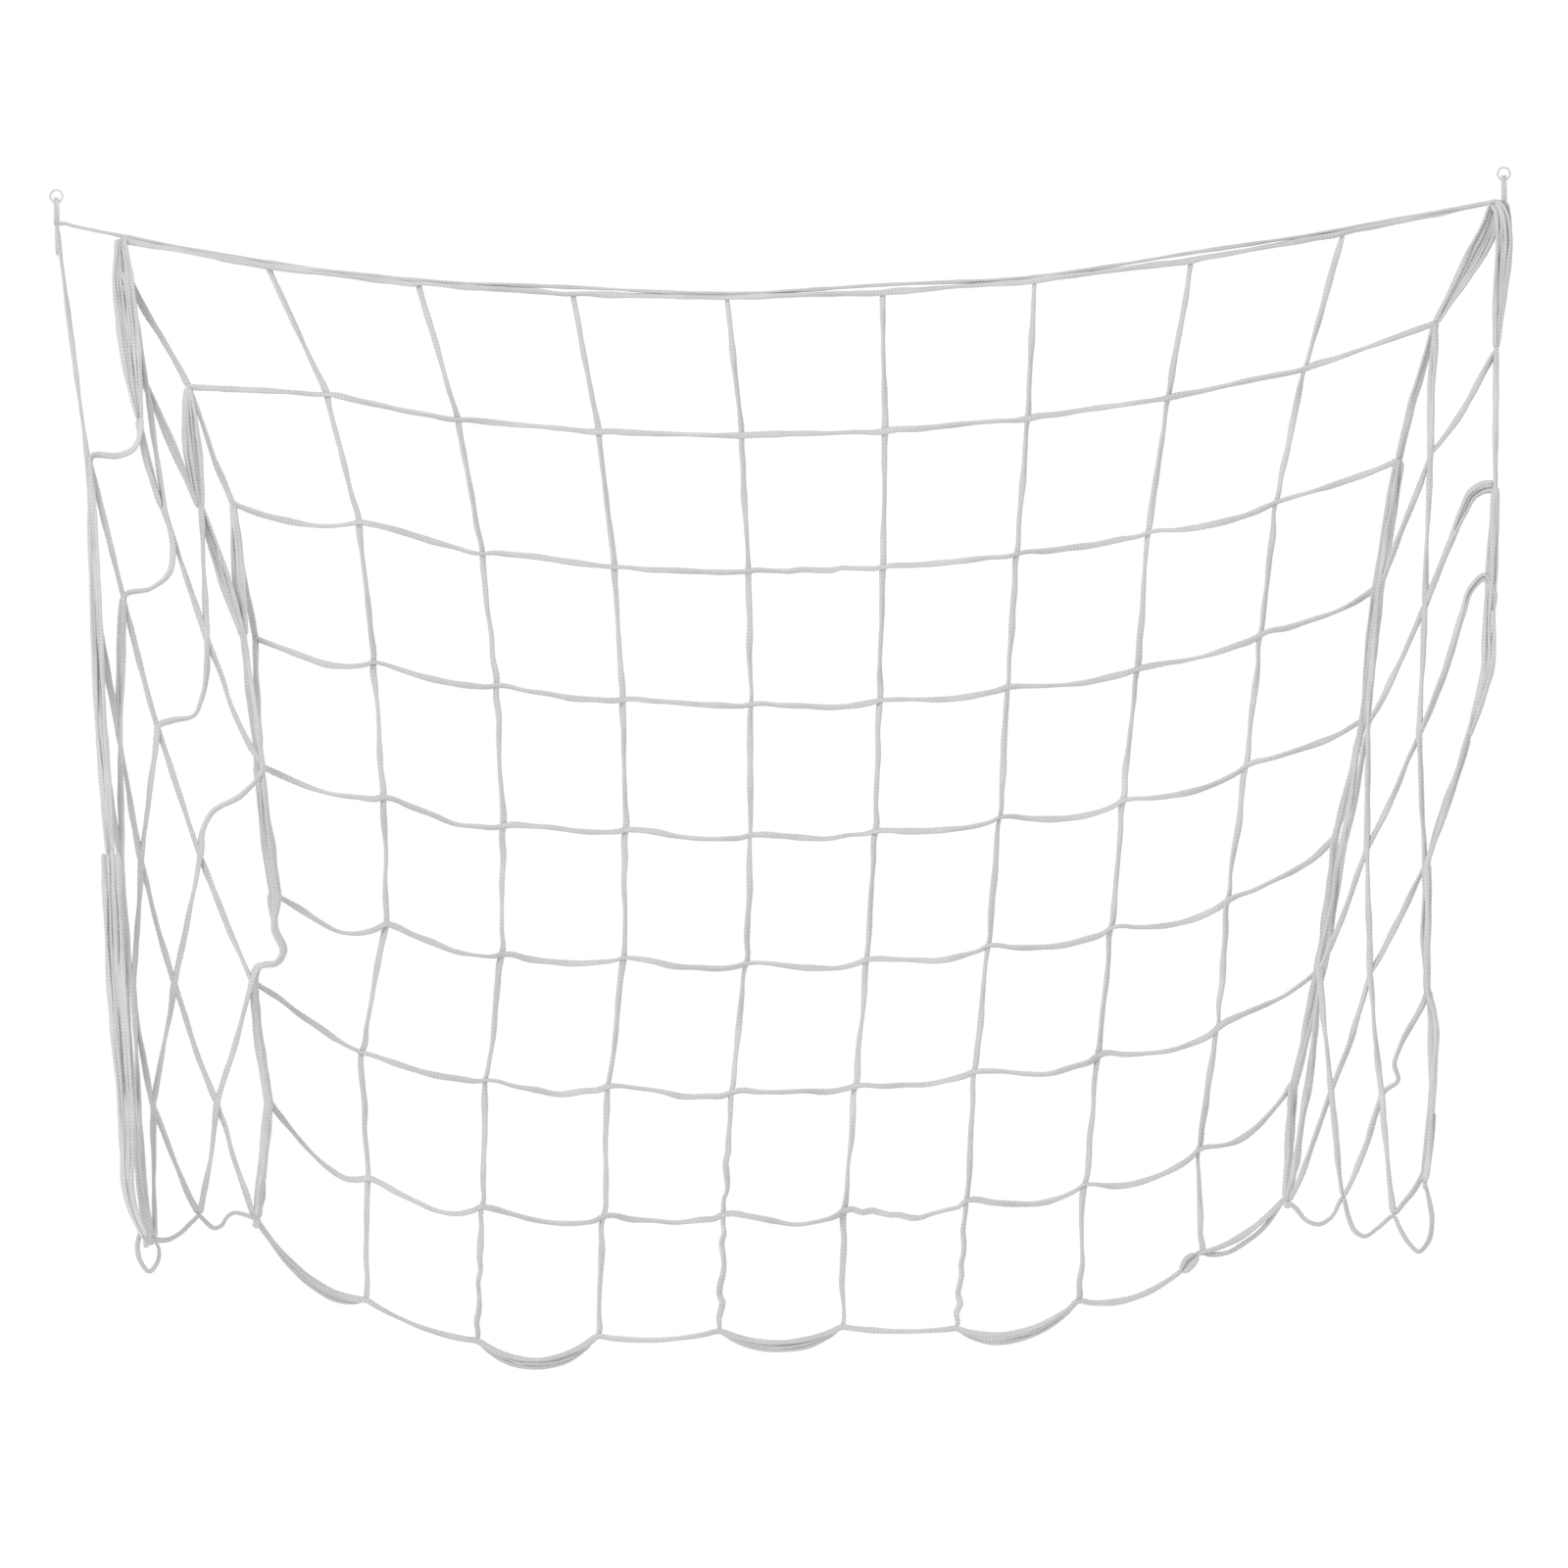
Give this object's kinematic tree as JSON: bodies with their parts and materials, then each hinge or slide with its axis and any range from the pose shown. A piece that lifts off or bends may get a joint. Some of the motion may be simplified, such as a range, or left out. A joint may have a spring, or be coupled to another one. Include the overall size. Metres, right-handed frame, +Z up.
{
  "type": "hockey goal net",
  "caption": "Goal net of square knotless twine mesh with edge cords, hung by its two top corners with its side panels hanging in folds.",
  "frame": {"origin": "on the line between the two hooks that the net hangs on, midway between them", "axes": "+X to the right seen from the front, along the line through the hooks; +Y to the rear; +Z up"},
  "size_m": [1.6424, 0.3896, 1.3435],
  "materials": {
    "netting_twine": "white-grey knotless braided polyester twine, matt with a slight filament sheen",
    "edge_cord": "the same yarn in a slightly heavier braided border cord",
    "corner_cord": "thin tightly laid white cord"
  },
  "bodies": {
    "hanging_loops": {"left_hanging_loop": "corner_cord", "right_hanging_loop": "corner_cord"},
    "net": {"back_row_0": "netting_twine", "back_row_1": "netting_twine", "back_row_2": "netting_twine", "back_row_3": "netting_twine", "back_row_4": "netting_twine", "back_row_5": "netting_twine", "back_row_6": "netting_twine", "back_row_7": "netting_twine", "back_row_8": "netting_twine", "back_column_0": "netting_twine", "back_column_1": "netting_twine", "back_column_2": "netting_twine", "back_column_3": "netting_twine", "back_column_4": "netting_twine", "back_column_5": "netting_twine", "back_column_6": "netting_twine", "back_column_7": "netting_twine", "back_column_8": "netting_twine", "back_column_9": "netting_twine", "left_row_0": "netting_twine", "left_row_1": "netting_twine", "left_row_2": "netting_twine", "left_row_3": "netting_twine", "left_row_4": "netting_twine", "left_row_5": "netting_twine", "left_row_6": "netting_twine", "left_row_7": "netting_twine", "left_column_1": "netting_twine", "left_column_2": "netting_twine", "left_column_3": "netting_twine", "left_column_4": "netting_twine", "left_column_5": "netting_twine", "left_column_6": "netting_twine", "left_column_7": "netting_twine", "left_end_cord": "edge_cord", "left_foot_cord": "edge_cord", "left_corner_lashing": "corner_cord", "right_row_0": "netting_twine", "right_row_1": "netting_twine", "right_row_2": "netting_twine", "right_row_3": "netting_twine", "right_row_4": "netting_twine", "right_row_5": "netting_twine", "right_row_6": "netting_twine", "right_row_7": "netting_twine", "right_column_1": "netting_twine", "right_column_2": "netting_twine", "right_column_3": "netting_twine", "right_column_4": "netting_twine", "right_column_5": "netting_twine", "right_column_6": "netting_twine", "right_column_7": "netting_twine", "right_end_cord": "edge_cord", "right_foot_cord": "edge_cord", "right_corner_lashing": "corner_cord", "left_gathered_row": "netting_twine", "head_cord": "edge_cord", "foot_cord": "edge_cord"}
  },
  "joints": [
    {"name": "net_swing", "type": "hinge", "parent": "hanging_loops", "child": "net", "pos_m": [0, 0, 0], "axis": [1, 0, 0], "range_deg": [-35, 35]}
  ]
}
